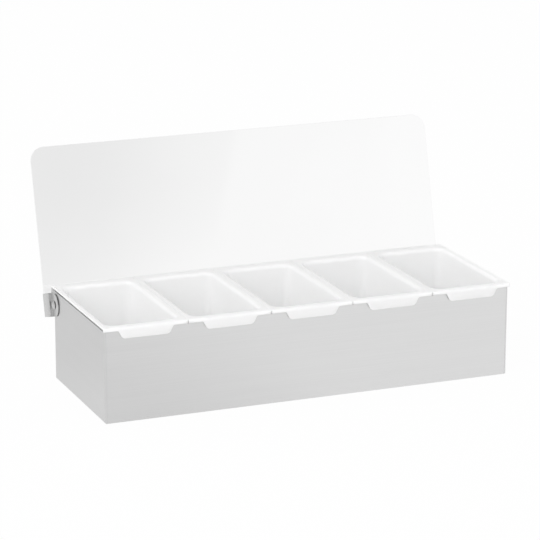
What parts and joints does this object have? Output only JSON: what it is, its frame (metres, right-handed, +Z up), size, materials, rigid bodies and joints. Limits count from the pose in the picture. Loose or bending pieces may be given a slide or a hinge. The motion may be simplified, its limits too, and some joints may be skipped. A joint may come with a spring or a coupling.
{
  "type": "condiment caddy",
  "caption": "Low steel housing that keeps a row of lift-out plastic tubs cold under one wide clear lid, which flips back on a clip and a rivet at each end.",
  "frame": {"origin": "centre of the housing's flat underside", "axes": "+X along the housing's length, to the right when seen from the tabs; -Y is the front, where the tabs hang; +Z is up"},
  "size_m": [0.4508, 0.2242, 0.2328],
  "materials": {
    "housing_steel": "stainless sheet, brushed lengthwise, pale satin",
    "hinge_steel": "polished stainless",
    "insert_plastic": "milky translucent polypropylene, soft sheen",
    "clear_lid": "clear, glossy sheet plastic"
  },
  "bodies": {
    "housing": {"housing_wrap": "housing_steel", "end_panel_left": "housing_steel", "end_panel_right": "housing_steel", "pivot_rivet_left": "hinge_steel", "pivot_rivet_right": "hinge_steel"},
    "lid": {"lid_panel": "clear_lid", "hinge_clip_left": "hinge_steel", "hinge_clip_right": "hinge_steel"},
    "insert_1": {"insert_1": "insert_plastic"},
    "insert_2": {"insert_2": "insert_plastic"},
    "insert_3": {"insert_3": "insert_plastic"},
    "insert_4": {"insert_4": "insert_plastic"},
    "insert_5": {"insert_5": "insert_plastic"}
  },
  "joints": [
    {"name": "lid_hinge", "type": "hinge", "parent": "housing", "child": "lid", "pos_m": [0, 0.0758, 0.0807], "axis": [-1, 0, 0], "range_deg": [-105, 30]},
    {"name": "insert_1_lift", "type": "slide", "parent": "housing", "child": "insert_1", "axis": [0, 0, 1], "range_m": [0, 0.1]},
    {"name": "insert_2_lift", "type": "slide", "parent": "housing", "child": "insert_2", "axis": [0, 0, 1], "range_m": [0, 0.1]},
    {"name": "insert_3_lift", "type": "slide", "parent": "housing", "child": "insert_3", "axis": [0, 0, 1], "range_m": [0, 0.1]},
    {"name": "insert_4_lift", "type": "slide", "parent": "housing", "child": "insert_4", "axis": [0, 0, 1], "range_m": [0, 0.1]},
    {"name": "insert_5_lift", "type": "slide", "parent": "housing", "child": "insert_5", "axis": [0, 0, 1], "range_m": [0, 0.1]}
  ]
}
